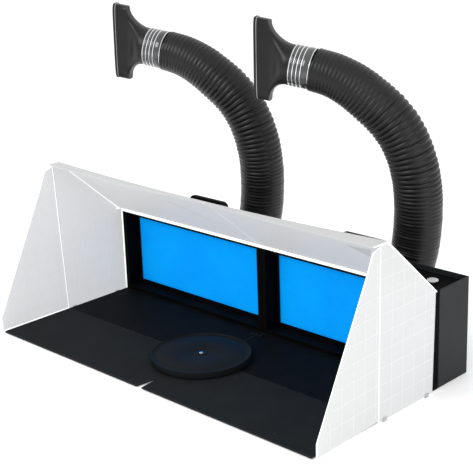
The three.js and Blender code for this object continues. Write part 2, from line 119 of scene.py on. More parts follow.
def loft(name, rows, closed=True, sharp_degrees=35):
    """A skin through rows of points. Each row is a ring, and closed joins the last row to the first."""
    around = len(rows[0])
    faces = []
    for r in range(len(rows) if closed else len(rows) - 1):
        here, there = r * around, (r + 1) % len(rows) * around
        for i in range(around):
            j = (i + 1) % around
            faces.append((here + i, here + j, there + j, there + i))
    return piece_from(name, [p for row in rows for p in row], faces, sharp_degrees)


def turned(name, profile, centre, axis, sides=96):
    """A lathe piece. The closed profile is a list of (radius, place along the axis) in metres."""
    aim = Vector(axis).normalized()
    turn = aim.to_track_quat("Z", "Y").to_matrix()
    rows = []
    for i in range(sides):
        angle = 2 * math.pi * i / sides
        spoke = turn @ Vector((math.cos(angle), math.sin(angle), 0))
        rows.append([Vector(centre) + spoke * r + aim * a for r, a in profile])
    return loft(name, rows)


def joined(name, parts):
    """One object from several, with their materials kept."""
    first = parts[0]
    with bpy.context.temp_override(active_object=first, selected_editable_objects=parts):
        bpy.ops.object.join()
    first.name = name
    return first


print("mesh helpers are ready")

# %% [markdown]
# ## Line of the exhaust duct
# The duct is a ribbed hose that keeps the bend it is given. It leaves the spigot at the back of
# its housing, climbs behind it and leans over to the left. Its middle line could be a Bezier
# curve, but a list of points with one smooth curve through them says plainly where it goes.

# %% Route of the duct
DUCT_ROUTE = np.array([
    (0, 240, 100), (0, 265, 101), (0, 292, 113), (1, 312, 134), (5, 321, 165), (10, 323, 205),
    (14, 321, 250), (15, 317, 295), (12, 310, 338), (4, 301, 378), (-10, 290, 415),
    (-31, 276, 448), (-58, 260, 477), (-88, 245, 502), (-122, 229, 521), (-158, 213, 532),
]) * MM
DUCT_DIAMETER = 96 * MM
CUFF_LENGTH = 43 * MM
duct_aim = Vector((-0.9, -0.4, 0.17)).normalized()
duct_end = Vector(DUCT_ROUTE[-1])


def smooth_line(points, count):
    """Evenly spaced points on a smooth curve through the given ones."""
    along = np.r_[0, np.cumsum(np.linalg.norm(np.diff(points, axis=0), axis=1))]
    slope = np.gradient(points, along, axis=0)
    fine = np.linspace(0, along[-1], 2000)
    i = np.clip(np.searchsorted(along, fine) - 1, 0, len(along) - 2)
    span = (along[i + 1] - along[i])[:, None]
    u = (fine - along[i])[:, None] / span
    curve = points[i] * (2 * u**3 - 3 * u**2 + 1) + points[i + 1] * (3 * u**2 - 2 * u**3)
    curve += span * (slope[i] * (u**3 - 2 * u**2 + u) + slope[i + 1] * (u**3 - u**2))
    travelled = np.r_[0, np.cumsum(np.linalg.norm(np.diff(curve, axis=0), axis=1))]
    even = np.linspace(0, travelled[-1], count)
    return np.stack([np.interp(even, travelled, curve[:, k]) for k in range(3)], axis=1), travelled[-1]


DUCT_LENGTH = smooth_line(DUCT_ROUTE, 10)[1]
print("duct length:", round(DUCT_LENGTH, 4), "m")

# %% [markdown]
# ## Ribbed hose
# A spring wire runs inside the hose's thin wall and lifts it into ribs. Where the hose is pulled
# round its bend the ribs stand further apart and deeper, and where it is pushed together they
# are close and shallow. The ribs could be a bump in the material, but they show in the outline
# of the hose too, so the wall's radius is worked out row by row along the middle line.

# %% Hose
RIB_CLOSE = 7.4 * MM
RIB_WIDE = 10.8 * MM
RIB_ROWS = 8
HOSE_SIDES = 72
HOSE_END_RADIUS = 43 * MM
STRETCHED_FROM, STRETCHED_TO = 0.25, 0.47


def smooth_step(low, high, value):
    """0 below low, 1 above high and a smooth rise between them."""
    u = min(1, max(0, (value - low) / (high - low)))
    return u * u * (3 - 2 * u)


def stretch(distance):
    """1 where the hose is pulled apart round its bend, 0 where it is pushed together."""
    rise = smooth_step(STRETCHED_FROM - 0.07, STRETCHED_FROM + 0.07, distance)
    return rise * (1 - smooth_step(STRETCHED_TO - 0.08, STRETCHED_TO + 0.08, distance))


def carried_frames(line):
    """Two directions square to a line at each of its points, turned as little as possible."""
    tangents = np.gradient(line, axis=0)
    across = Vector((1, 0, 0))
    frames = []
    for t in tangents:
        along = Vector(t).normalized()
        across = (across - along * across.dot(along)).normalized()
        frames.append((across.copy(), along.cross(across)))
    return frames


def rib_radii(seed):
    """(place along the hose, radius, tilt) for each row of points, rib by rib."""
    draw = random.Random(seed)
    pitches = []
    while sum(pitches) < DUCT_LENGTH - RIB_CLOSE / 2:
        pitches.append(RIB_CLOSE + (RIB_WIDE - RIB_CLOSE) * stretch(sum(pitches)))
    fit = DUCT_LENGTH / sum(pitches)
    rows = []
    place = 0.0
    for pitch in [pitch * fit for pitch in pitches]:
        depth = (0.6 + 2.1 * stretch(place)) * MM
        full = DUCT_DIAMETER / 2 + draw.uniform(-0.25, 0.25) * MM
        tilt = draw.uniform(-0.012, 0.012)
        for step in range(RIB_ROWS):
            share = step / RIB_ROWS
            swell = abs(math.sin(math.pi * share)) ** 0.75
            at = place + pitch * share
            narrow = smooth_step(DUCT_LENGTH - 0.16, DUCT_LENGTH, at)
            radius = full - (full - HOSE_END_RADIUS) * narrow
            rows.append((at, radius - depth * (1 - swell), tilt))
        place += pitch
    return rows


def build_hose(name, seed, offset):
    """The hose of one unit as a closed tube with a wall."""
    rows = rib_radii(seed)
    count = 900
    line = smooth_line(DUCT_ROUTE, count)[0] + np.array(offset)
    frames = carried_frames(line)
    outside, inside = [], []
    for at, radius, tilt in rows:
        i = min(count - 1, round(at / DUCT_LENGTH * (count - 1)))
        centre, (across, over) = Vector(line[i]), frames[i]
        along = over.cross(across)
        ring, bore = [], []
        for k in range(HOSE_SIDES):
            angle = 2 * math.pi * k / HOSE_SIDES
            spoke = across * math.cos(angle) + over * math.sin(angle)
            lean = along * math.cos(angle) * tilt * radius
            ring.append(centre + spoke * radius + lean)
            bore.append(centre + spoke * (DUCT_DIAMETER / 2 - 6 * MM) * radius / (DUCT_DIAMETER / 2))
        outside.append(ring)
        inside.append(bore)
    hose = loft(name, outside + inside[::-RIB_ROWS // 2], sharp_degrees=80)
    return hose, line


hoses = {}
hose_lines = {}
for unit, side in UNITS.items():
    hoses[unit], hose_lines[unit] = build_hose(f"hose_{unit}", 6 + side, (unit_x[unit], 0, 0))
    print(f"hose_{unit}:", len(hoses[unit].data.polygons), "faces")

# %% [markdown]
# ## Cuff with wire rings
# At its free end the hose's wire shows bright through a clear wall, over the black neck of the
# nozzle. The wire could be one helix, but four rings and one end ring are what the eye sees, so
# each is a thin torus laid in a shallow groove of the wall.

# %% Cuff
CUFF_RADIUS = 41.2 * MM
CUFF_WALL = 1.6 * MM
WIRE_RADIUS = 1.05 * MM
WIRE_PLACES = [1.6 * MM, 17 * MM, 25 * MM, 33 * MM, 41 * MM]

across_duct = Vector((0, 0, 1)).cross(duct_aim).normalized()
over_duct = duct_aim.cross(across_duct)


def duct_ring(centre, radius, sides):
    """A ring of points square to the duct's free end."""
    angles = [2 * math.pi * k / sides for k in range(sides)]
    return [centre + (across_duct * math.cos(a) + over_duct * math.sin(a)) * radius for a in angles]


def build_cuff(name, offset):
    """Clear wall that swells a little between the wires."""
    rows = []
    steps = 44
    for step in range(steps + 1):
        along = CUFF_LENGTH * step / steps
        near = min(abs(along - place) for place in WIRE_PLACES)
        swell = 1.1 * MM * (1 - math.exp(-(near / (3 * MM)) ** 2))
        rows.append(duct_ring(offset + duct_end + duct_aim * along, CUFF_RADIUS - 0.9 * MM + swell, 72))
    inner = [
        duct_ring(offset + duct_end + duct_aim * along, CUFF_RADIUS - CUFF_WALL - 1.2 * MM, 72)
        for along in (CUFF_LENGTH, 0)
    ]
    return loft(name, rows + inner, sharp_degrees=60)


def build_wire(name, offset, place):
    """One bright ring of the spring wire."""
    profile = [
        (CUFF_RADIUS - 0.2 * MM + WIRE_RADIUS * math.cos(a), WIRE_RADIUS * math.sin(a))
        for a in [2 * math.pi * k / 10 for k in range(10)]
    ]
    return turned(name, profile, offset + duct_end + duct_aim * place, duct_aim, 80)


cuffs, wires = {}, {}
for unit in UNITS:
    offset = Vector((unit_x[unit], 0, 0))
    cuffs[unit] = build_cuff(f"cuff_{unit}", offset)
    rings = [build_wire(f"wire_{unit}_{i}", offset, place) for i, place in enumerate(WIRE_PLACES)]
    wires[unit] = joined(f"cuff_wires_{unit}", rings)
    print(f"cuff_{unit}: wall and", len(WIRE_PLACES), "wire rings")

# %% [markdown]
# ## Fishtail nozzle
# The nozzle is blow moulded: a round neck that spreads into a tall, thin mouth with a small rim
# round its lip. A box with a subdivision surface would come close, but a loft of superellipses
# gives the true shape, from a circle at the neck to a rounded slot at the mouth.

# %% Nozzle
NECK_RADIUS = 40 * MM
NECK_LENGTH = 6 * MM
FLARE_LENGTH = 42 * MM
LIP_LENGTH = 30 * MM
RIM_LENGTH = 5 * MM
RIM_HEIGHT = 1.5 * MM
NOZZLE_WALL = 2.2 * MM
MOUTH_HALF_HEIGHT = 80 * MM
MOUTH_HALF_WIDTH = 15 * MM
NOZZLE_SIDES = 112
FLARE_STEPS = 22
RIM_STEP_ROW = FLARE_STEPS + 3
mouth_up = Vector((0.02, 0, 1)).normalized()


def nozzle_ring(offset, along, inset):
    """Ring of the nozzle's skin at a distance from its neck's end."""
    flare = min(1, max(0, (along - NECK_LENGTH) / FLARE_LENGTH))
    rise = 1 - math.sqrt(1 - flare * flare)
    tall = NECK_RADIUS + (MOUTH_HALF_HEIGHT - NECK_RADIUS) * rise - inset
    turn_in = smooth_step(0, 1, flare)
    thin = NECK_RADIUS + (MOUTH_HALF_WIDTH - NECK_RADIUS) * turn_in - inset
    power = 1 - 0.66 * turn_in
    over = over_duct.lerp(mouth_up, flare).normalized()
    centre = offset + duct_end + duct_aim * (CUFF_LENGTH + 0.3 * MM + along)
    ring = []
    for k in range(NOZZLE_SIDES):
        angle = 2 * math.pi * (k + 0.5) / NOZZLE_SIDES
        a, u = math.cos(angle), math.sin(angle)
        wide = thin * math.copysign(abs(a) ** power, a)
        high = tall * math.copysign(abs(u) ** power, u)
        ring.append(centre + across_duct * wide + over * high)
    return ring


def build_nozzle(name, offset):
    """Outside from neck to mouth, then back along the inside."""
    end = NECK_LENGTH + FLARE_LENGTH + LIP_LENGTH
    rim = end - RIM_LENGTH
    turns = [math.pi / 2 * k / FLARE_STEPS for k in range(FLARE_STEPS + 1)]
    stations = [0, NECK_LENGTH / 2] + [NECK_LENGTH + FLARE_LENGTH * math.sin(a) for a in turns]
    mouth = [
        (rim - 1.2 * MM, 0),
        (rim, -RIM_HEIGHT * 0.7),
        (rim + 0.8 * MM, -RIM_HEIGHT),
        (end - 0.8 * MM, -RIM_HEIGHT),
        (end, -RIM_HEIGHT * 0.4),
        (end, NOZZLE_WALL - 0.7 * MM),
        (end - 1 * MM, NOZZLE_WALL),
    ]
    rows = [nozzle_ring(offset, s, 0) for s in stations]
    rows += [nozzle_ring(offset, s, inset) for s, inset in mouth]
    rows += [nozzle_ring(offset, s, NOZZLE_WALL) for s in stations[::-2]]
    return loft(name, rows, sharp_degrees=50)


def paint_rim_highlight(piece):
    """Gives the nozzle's second material, a painted highlight, to the narrow faces behind its raised rim."""
    first = RIM_STEP_ROW * NOZZLE_SIDES
    for face in piece.data.polygons[first:first + NOZZLE_SIDES]:
        face.material_index = 1


nozzles = {unit: build_nozzle(f"nozzle_{unit}", Vector((unit_x[unit], 0, 0))) for unit in UNITS}
print("nozzles:", {n: len(o.data.polygons) for n, o in nozzles.items()})

# %% [markdown]
# ## Grain and mottling, shared by every moulding
# Moulded plastic has a fine spark-eroded grain and slow changes in tone. Both come from noise
# measured in metres, so they keep their scale on every part. They are a node group with two
# outputs: a height for the bump, and a tone that each material spreads over its own colours.

# %% Node helpers and the grain group
def add_node(tree, kind, **settings):
    """A node with some of its settings given."""
    made = tree.nodes.new(kind)
    for key, value in settings.items():
        setattr(made, key, value)
    return made


def new_group(name, inputs, outputs):
    """A node group with named sockets. Inputs give their default value."""
    tree = bpy.data.node_groups.new(name, "ShaderNodeTree")
    for socket, default in inputs.items():
        made = tree.interface.new_socket(socket, in_out="INPUT", socket_type="NodeSocketFloat")
        made.default_value = default
    for socket in outputs:
        tree.interface.new_socket(socket, in_out="OUTPUT", socket_type="NodeSocketFloat")
    return tree, add_node(tree, "NodeGroupInput"), add_node(tree, "NodeGroupOutput")


def noise_node(tree, vector, scale, detail):
    """A noise texture fed by a vector, at a scale that is a socket or a number."""
    made = add_node(tree, "ShaderNodeTexNoise")
    made.inputs["Detail"].default_value = detail
    tree.links.new(vector, made.inputs["Vector"])
    if isinstance(scale, (int, float)):
        made.inputs["Scale"].default_value = scale
    else:
        tree.links.new(scale, made.inputs["Scale"])
    return made.outputs["Fac"]


def spread(tree, value, from_low, from_high, to_low=0.0, to_high=1.0):
    """Stretches a value from one range to another and clamps it."""
    made = add_node(tree, "ShaderNodeMapRange")
    limits = {"From Min": from_low, "From Max": from_high, "To Min": to_low, "To Max": to_high}
    for socket, number in limits.items():
        made.inputs[socket].default_value = number
    tree.links.new(value, made.inputs["Value"])
    return made.outputs["Result"]


grain_scales = {"Grain Scale": 900.0, "Tone Scale": 14.0}
grain, taken, given = new_group("moulded_grain", grain_scales, ["Height", "Tone"])
place = add_node(grain, "ShaderNodeTexCoord").outputs["Object"]
grain.links.new(noise_node(grain, place, taken.outputs["Grain Scale"], 3), given.inputs["Height"])
slow = noise_node(grain, place, taken.outputs["Tone Scale"], 4)
grain.links.new(spread(grain, slow, 0.32, 0.68), given.inputs["Tone"])
print("group:", grain.name)

# %% [markdown]
# ## Settled dust
# A booth is never quite clean: a little dust lies on faces that look up, in soft patches. The
# group multiplies how far a face looks up by a patchy noise, and gives one mask.

# %% Dust group
dust, taken, given = new_group("settled_dust", {"Amount": 0.2}, ["Mask"])
place = add_node(dust, "ShaderNodeTexCoord").outputs["Object"]
facing = add_node(dust, "ShaderNodeSeparateXYZ")
dust.links.new(add_node(dust, "ShaderNodeNewGeometry").outputs["Normal"], facing.inputs["Vector"])
upward = spread(dust, facing.outputs["Z"], 0.3, 1.0)
patches = spread(dust, noise_node(dust, place, 22, 5), 0.42, 0.75)
speckle = add_node(dust, "ShaderNodeMath", operation="MULTIPLY")
dust.links.new(upward, speckle.inputs[0])
dust.links.new(patches, speckle.inputs[1])
scaled = add_node(dust, "ShaderNodeMath", operation="MULTIPLY")
dust.links.new(speckle.outputs["Value"], scaled.inputs[0])
dust.links.new(taken.outputs["Amount"], scaled.inputs[1])
dust.links.new(scaled.outputs["Value"], given.inputs["Mask"])
print("group:", dust.name)

# %% [markdown]
# ## Black plastics
# The housings, the floor, the trim and the hose are all black plastic, but no two are the same
# black: they differ in tone, gloss and grain. One function makes them from a dark and a light
# tone, a roughness range, a grain and some dust, so each finish is a single line below. Some also
# carry painted light: the rear floor's darkness is painted shade, the lighter bevel edges are partly
# wear and partly painted highlight, and the nozzle's pale lip is a painted highlight.

# %% Plastic material
def mixed(tree, factor, first, second):
    """A colour between two colours or sockets, by a factor socket."""
    made = add_node(tree, "ShaderNodeMix", data_type="RGBA")
    tree.links.new(factor, made.inputs["Factor"])
    for socket, value in (("A", first), ("B", second)):
        target = [i for i in made.inputs if i.name == socket and i.type == "RGBA"][0]
        if isinstance(value, tuple):
            target.default_value = (*value, 1)
        else:
            tree.links.new(value, target)
    return [o for o in made.outputs if o.type == "RGBA"][0]


def placed_group(tree, group, **values):
    """A shared group in a material, with its own values."""
    made = add_node(tree, "ShaderNodeGroup", node_tree=group)
    for name, value in values.items():
        made.inputs[name.replace("_", " ")].default_value = value
    return made


def new_material(name):
    """A material, its node tree and its Principled shader."""
    material = bpy.data.materials.new(name)
    material.use_nodes = True
    return material, material.node_tree, material.node_tree.nodes["Principled BSDF"]


def bump_into(tree, shader, height, strength, distance):
    """A bump from a height socket into the shader's normal."""
    made = add_node(tree, "ShaderNodeBump")
    made.inputs["Strength"].default_value = strength
    made.inputs["Distance"].default_value = distance
    tree.links.new(height, made.inputs["Height"])
    tree.links.new(made.outputs["Normal"], shader.inputs["Normal"])


DUST_COLOUR = (0.16, 0.16, 0.155)


def plastic(name, dark, light, rough, gloss=0.3, grain_scale=900.0, grain_depth=0.05, dusty=0.05):
    """Moulded plastic. rough is a (least, most) pair."""
    material, tree, shader = new_material(name)
    surface = placed_group(tree, grain, Grain_Scale=grain_scale)
    layer = placed_group(tree, dust, Amount=dusty)
    body = mixed(tree, surface.outputs["Tone"], dark, light)
    tree.links.new(mixed(tree, layer.outputs["Mask"], body, DUST_COLOUR), shader.inputs["Base Color"])
    tree.links.new(spread(tree, surface.outputs["Tone"], 0, 1, *rough), shader.inputs["Roughness"])
    shader.inputs["Specular IOR Level"].default_value = gloss
    bump_into(tree, shader, surface.outputs["Height"], 0.5, grain_depth * MM)
    return material


housing_black = plastic("housing_black", (0.009, 0.0105, 0.012), (0.012, 0.014, 0.0155), (0.42, 0.52), 0.2)
floor_black = plastic(
    "floor_charcoal", (0.011, 0.0125, 0.0135), (0.014, 0.016, 0.0175), (0.60, 0.70), 0.03, dusty=0.015)
# The rear floor is painted near black: painted shade for the shade under the hood.
rear_floor_painted_shade = plastic(
    "rear_floor_black_painted_shade", (0.003, 0.0035, 0.0042), (0.005, 0.006, 0.007), (0.62, 0.72), 0.03, dusty=0.01)
disc_black = plastic(
    "turntable_black", (0.006, 0.007, 0.0078), (0.008, 0.0095, 0.0105), (0.50, 0.60), 0.06, dusty=0.01)
trim_black = plastic(
    "trim_black", (0.0016, 0.0016, 0.0018), (0.003, 0.003, 0.0034), (0.60, 0.70), 0.03, dusty=0.01)
# Lighter black for bevelled edges: partly wear, partly a painted highlight.
edge_wear_and_highlight_black = plastic("rubbed_and_highlit_edge_black", (0.014, 0.015, 0.016), (0.022, 0.024, 0.026), (0.40, 0.50), 0.12)
# Pale grey behind the nozzle's rim: a painted highlight along its lip.
lip_highlight_grey = plastic("painted_lip_highlight_grey", (0.20, 0.20, 0.20), (0.32, 0.32, 0.32), (0.25, 0.35), 0.5)
nozzle_black = plastic("nozzle_black", (0.0045, 0.0045, 0.005), (0.007, 0.007, 0.0075), (0.30, 0.38), 0.3)
hose_black = plastic("hose_black", (0.003, 0.003, 0.0032), (0.006, 0.006, 0.0065), (0.30, 0.42), 0.34, 500.0)
button_grey = plastic("button_grey", (0.42, 0.43, 0.44), (0.50, 0.51, 0.52), (0.28, 0.36), 0.5)
rubber = plastic("rubber_black", (0.004, 0.004, 0.004), (0.008, 0.008, 0.008), (0.6, 0.75), 0.2)
print("black plastics are ready")

# %% [markdown]
# ## Frosted sheet
# The hood is polypropylene sheet, white and frosted, that lets light through. Its cut edges and
# its embossed lines catch the light, so they take lighter materials: painted highlights. Real
# light-carrying sheet could be made with transmission, but that shows what lies behind it too
# clearly. A pale body with some light scattered under its surface keeps it milky, and a little glow
# stands for the light that comes through it. A darker material is painted shade on the visor and
# the folds.

# %% Sheet materials
def sheet_material(name, dark, light, rough, scatter, glow):
    """Milky plastic sheet. glow stands for the light that comes through it."""
    material, tree, shader = new_material(name)
    surface = placed_group(tree, grain, Grain_Scale=420.0, Tone_Scale=5.0)
    tree.links.new(mixed(tree, surface.outputs["Tone"], dark, light), shader.inputs["Base Color"])
    tree.links.new(spread(tree, surface.outputs["Tone"], 0, 1, *rough), shader.inputs["Roughness"])
    shader.inputs["Specular IOR Level"].default_value = 0.3
    shader.inputs["Subsurface Weight"].default_value = scatter
    shader.inputs["Subsurface Radius"].default_value = (1.0, 1.0, 1.0)
    shader.inputs["Subsurface Scale"].default_value = 0.02
    shader.inputs["Emission Color"].default_value = (1, 1, 1, 1)
    shader.inputs["Emission Strength"].default_value = glow
    bump_into(tree, shader, surface.outputs["Height"], 0.4, 0.05 * MM)
    return material


sheet_face = sheet_material(
    "frosted_sheet", (0.34, 0.343, 0.343), (0.37, 0.373, 0.373), (0.42, 0.54), 0.3, 0.33)
# Embossed lines painted lighter than the face: a painted highlight.
sheet_line_highlight = sheet_material(
    "embossed_line_painted_highlight", (0.41, 0.413, 0.413), (0.45, 0.453, 0.453), (0.34, 0.44), 0.2, 0.36)
# Near-white cut edges: a painted highlight for the light the edges catch.
sheet_edge_highlight = sheet_material(
    "cut_edge_painted_highlight", (0.80, 0.80, 0.80), (0.86, 0.86, 0.86), (0.30, 0.40), 0.0, 0.5)
# Darker sheet for the visor, folds and seams: painted shade.
sheet_painted_shade = sheet_material(
    "painted_sheet_shade", (0.27, 0.273, 0.273), (0.30, 0.303, 0.303), (0.42, 0.54), 0.2, 0.27)
print("sheet materials are ready")

# %% [markdown]
# ## Filter mat, metals and the clear cuff
# The filter is a blue mat of tangled fibres, so its colour and bump come from noise stretched
# into short strands. The wire rings and motors are bright metal with fine scratches. The cuff's
# clear wall shows mostly the black neck under it, so it is a dark body under a glossy coat.

# %% Filter mat
FIBRE_GLOW = 0.30


def fibre_material(name, dark, light):
    """Mat of tangled fibres. A little glow stands for the light that gets in between them."""
    material, tree, shader = new_material(name)
    place = add_node(tree, "ShaderNodeTexCoord").outputs["Object"]
    strands = []
    for turn_degrees in (35, -50):
        mapping = add_node(tree, "ShaderNodeMapping")
        mapping.inputs["Rotation"].default_value = (0, math.radians(turn_degrees), 0)
        mapping.inputs["Scale"].default_value = (60, 60, 420)
        tree.links.new(place, mapping.inputs["Vector"])
        strands.append(noise_node(tree, mapping.outputs["Vector"], 1.0, 4))
    tangle = add_node(tree, "ShaderNodeMath", operation="MAXIMUM")
    tree.links.new(strands[0], tangle.inputs[0])
    tree.links.new(strands[1], tangle.inputs[1])
    slow = spread(tree, noise_node(tree, place, 9, 4), 0.35, 0.65)
    fibre = spread(tree, tangle.outputs["Value"], 0.42, 0.72)
    shade = add_node(tree, "ShaderNodeMath", operation="ADD", use_clamp=True)
    for i, pattern in enumerate((fibre, slow)):
        half = add_node(tree, "ShaderNodeMath", operation="MULTIPLY")
        half.inputs[1].default_value = 0.5
        tree.links.new(pattern, half.inputs[0])
        tree.links.new(half.outputs["Value"], shade.inputs[i])
    colour = mixed(tree, shade.outputs["Value"], dark, light)
    tree.links.new(colour, shader.inputs["Base Color"])
    tree.links.new(colour, shader.inputs["Emission Color"])
    shader.inputs["Emission Strength"].default_value = FIBRE_GLOW
    shader.inputs["Roughness"].default_value = 0.9
    shader.inputs["Specular IOR Level"].default_value = 0.1
    bump_into(tree, shader, tangle.outputs["Value"], 0.5, 0.8 * MM)
    return material


filter_blue = fibre_material("filter_fibre", (0.0, 0.30, 0.95), (0.0, 0.38, 1.0))
print("filter material is ready")


# %% Metals and clear cuff
def metal(name, dark, light, rough):
    """Bright metal with fine scratches."""
    material, tree, shader = new_material(name)
    surface = placed_group(tree, grain, Grain_Scale=1500.0, Tone_Scale=60.0)
    tree.links.new(mixed(tree, surface.outputs["Tone"], dark, light), shader.inputs["Base Color"])
    tree.links.new(spread(tree, surface.outputs["Height"], 0.3, 0.7, *rough), shader.inputs["Roughness"])
    shader.inputs["Metallic"].default_value = 1.0
    return material


wire_metal = metal("bright_wire", (0.80, 0.81, 0.82), (0.95, 0.96, 0.97), (0.15, 0.28))
zinc = metal("zinc_plate", (0.50, 0.51, 0.52), (0.62, 0.63, 0.64), (0.28, 0.42))
cuff_clear = plastic(
    "clear_over_black", (0.020, 0.021, 0.022), (0.05, 0.052, 0.054), (0.12, 0.2), 0.6, 300.0)
cuff_clear.node_tree.nodes["Principled BSDF"].inputs["Coat Weight"].default_value = 0.6
print("metal materials are ready")

# %% [markdown]
# ## Giving the duct its finish
# A piece needs three things to belong to the booth: the body that it moves with, the plain part
# that it stands for, and its material.

# %% Finish the ducts
def finish_piece(piece, body, slot, material, *nodes):
    """Gives a piece its material, its body and the parts that it stands for."""
    if material is not None:
        piece.data.materials.clear()
        piece.data.materials.append(material)
    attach(piece, body)
    if nodes:
        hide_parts(*nodes)
    return piece


for unit in UNITS:
    finish_piece(hoses[unit], f"duct_{unit}", "hose", hose_black, f"duct_hose_{unit}")
    finish_piece(cuffs[unit], f"duct_{unit}", "cuff", cuff_clear, f"duct_cuff_{unit}")
    finish_piece(wires[unit], f"duct_{unit}", "steel", wire_metal)
    finish_piece(nozzles[unit], f"nozzle_{unit}", "trim", nozzle_black, f"duct_nozzle_{unit}")
    # The nozzle's second material paints a highlight behind its rim.
    nozzles[unit].data.materials.append(lip_highlight_grey)
    paint_rim_highlight(nozzles[unit])
print("ducts are finished")

# %% [markdown]
# ## Moulded parts with soft edges
# No moulded part has a knife edge. The frame's parts are sharp, so each visible one is copied,
# its flat faces are made whole again, and a bevel rounds its edges. The bevel's own faces take a
# slightly lighter plastic, partly for the wear of handling and partly as a painted highlight along
# the edges of real black mouldings.

# %% Softened copies of the frame's parts
def merged_copy(node, whole=True):
    """A bmesh of a frame part with its split corners merged. whole also makes flat faces whole."""
    work = bmesh.new()
    work.from_mesh(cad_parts[node].data)
    bmesh.ops.remove_doubles(work, verts=work.verts, dist=2e-6)
    if whole:
        bmesh.ops.dissolve_limit(
            work,
            angle_limit=math.radians(0.5),
            verts=work.verts,
            edges=work.edges,
            use_dissolve_boundaries=False,
        )
    return work


def softened(node, body, slot, materials, width, segments=2, choose=None, whole=True):
    """A bevelled copy that stands for the part. materials start with those of faces and edges."""
    work = merged_copy(node, whole)
    if choose:
        for face in work.faces:
            face.material_index = choose(face)
    name = f"soft_{node}"
    mesh = bpy.data.meshes.new(name)
    work.to_mesh(mesh)
    work.free()
    piece = bpy.data.objects.new(name, mesh)
    bpy.context.scene.collection.objects.link(piece)
    for material in materials:
        mesh.materials.append(material)
    shaded(mesh, 30)
    bevel = piece.modifiers.new("soft edges", "BEVEL")
    bevel.width = width
    bevel.segments = segments
    bevel.limit_method = "ANGLE"
    bevel.angle_limit = math.radians(40)
    bevel.material = 1
    bevel.harden_normals = True
    finish_piece(piece, body, slot, None, node)
    return piece


BASE_PARTS = [
    ("housing_shell", "shell", housing_black, 1.4 * MM), ("top_tray", "shell", trim_black, 0.6 * MM),
    ("front_frame", "trim", trim_black, 0.9 * MM), ("filter_grille", "trim", trim_black, 0.4 * MM),
    ("rear_floor", "floor", rear_floor_painted_shade, 0.7 * MM), ("fan_shroud", "trim", trim_black, 0.5 * MM),
]
for unit in UNITS:
    for part, slot, material, width in BASE_PARTS:
        # Bevel faces take the lighter edge plastic, partly a painted highlight; the front frame's stay
        # black.
        edge = trim_black if part == "front_frame" else edge_wear_and_highlight_black
        softened(f"{part}_{unit}", "base", slot, (material, edge), width, whole=part != "front_frame")
    softened(f"front_flap_{unit}", f"flap_{unit}", "floor", (floor_black, edge_wear_and_highlight_black), 0.7 * MM)
    softened(f"fan_impeller_{unit}", f"fan_{unit}", "trim", (trim_black, edge_wear_and_highlight_black), 0.4 * MM)

# %% [markdown]
# ## Filters
# Each filter is a soft fibre mat held in a thin black cassette. A plain box would look like a
# blue plate, so the mat's front is a fine grid that rises and falls by less than a millimetre,
# sinks a little towards its edges and keeps clear of the cassette's lip.

# %% Filter mats and cassettes
MAT_COLUMNS, MAT_ROWS = 96, 40
MAT_EDGE = 3 * MM
MAT_WAVE = 0.55 * MM


def build_mat(name, node):
    """A mat that fills its frame part's box, with an uneven front and rounded edges."""
    low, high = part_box(node)
    points, faces = [], []
    for front in (True, False):
        for r in range(MAT_ROWS + 1):
            for c in range(MAT_COLUMNS + 1):
                x = low.x + (high.x - low.x) * c / MAT_COLUMNS
                z = low.z + (high.z - low.z) * r / MAT_ROWS
                inward = min(x - low.x, high.x - x, z - low.z, high.z - z)
                sink = MAT_EDGE * (1 - smooth_step(0, MAT_EDGE * 2, inward))
                wave = MAT_WAVE * (0.5 + 0.5 * noise.noise(Vector((x * 38, 0, z * 38))))
                y = low.y + 0.15 * MM + sink + wave if front else high.y
                points.append((x, y, z))
    side = (MAT_ROWS + 1) * (MAT_COLUMNS + 1)
    for r in range(MAT_ROWS):
        for c in range(MAT_COLUMNS):
            a = r * (MAT_COLUMNS + 1) + c
            b = a + MAT_COLUMNS + 1
            faces.append((a, a + 1, b + 1, b))
            faces.append((side + a, side + b, side + b + 1, side + a + 1))
    rim = list(range(MAT_COLUMNS + 1))
    rim += [r * (MAT_COLUMNS + 1) + MAT_COLUMNS for r in range(1, MAT_ROWS + 1)]
    rim += [MAT_ROWS * (MAT_COLUMNS + 1) + c for c in range(MAT_COLUMNS - 1, -1, -1)]
    rim += [r * (MAT_COLUMNS + 1) for r in range(MAT_ROWS - 1, 0, -1)]
    for i, a in enumerate(rim):
        b = rim[(i + 1) % len(rim)]
        faces.append((a, b, side + b, side + a))
    return piece_from(name, points, faces, 60)


for unit in UNITS:
    mat = build_mat(f"filter_mat_{unit}", f"filter_pad_{unit}")
    finish_piece(mat, f"filter_{unit}", "filter", filter_blue, f"filter_pad_{unit}")
    cassette = f"filter_cassette_{unit}"
    softened(cassette, f"filter_{unit}", "trim", (trim_black, trim_black), 0.4 * MM, whole=False)
print("filters are ready")

# %% [markdown]
# ## Hood sheets
# The sheets are cut from thin plastic with a coarse embossed grid, scored where they fold. The
# faces take the frosted finish, and every narrow face takes the painted highlight of a cut edge. The
# grid and the folds are thin raised strips, laid on the sheet in its own plane; the grid strips
# carry a painted highlight.

# %% Softened sheets
EDGE_LIMIT = 2.4 * MM


def edge_or_face(face):
    """1 for a narrow face, which is a cut edge of the sheet, and 0 for a wide one."""
    return 1 if face.calc_area() < EDGE_LIMIT * face.calc_perimeter() / 2 else 0


def top_face(face):
    """The top's visor takes the painted shade, its rear lip the cut edge's painted highlight, and its front
    edge is dull, painted in shade.
    """
    if edge_or_face(face):
        return 1 if face.normal.y > -0.5 else 2
    if face.normal.z > 0.99 or face.normal.z < -0.99:
        return 2
    return 1 if abs(face.normal.y) > 0.99 else 0


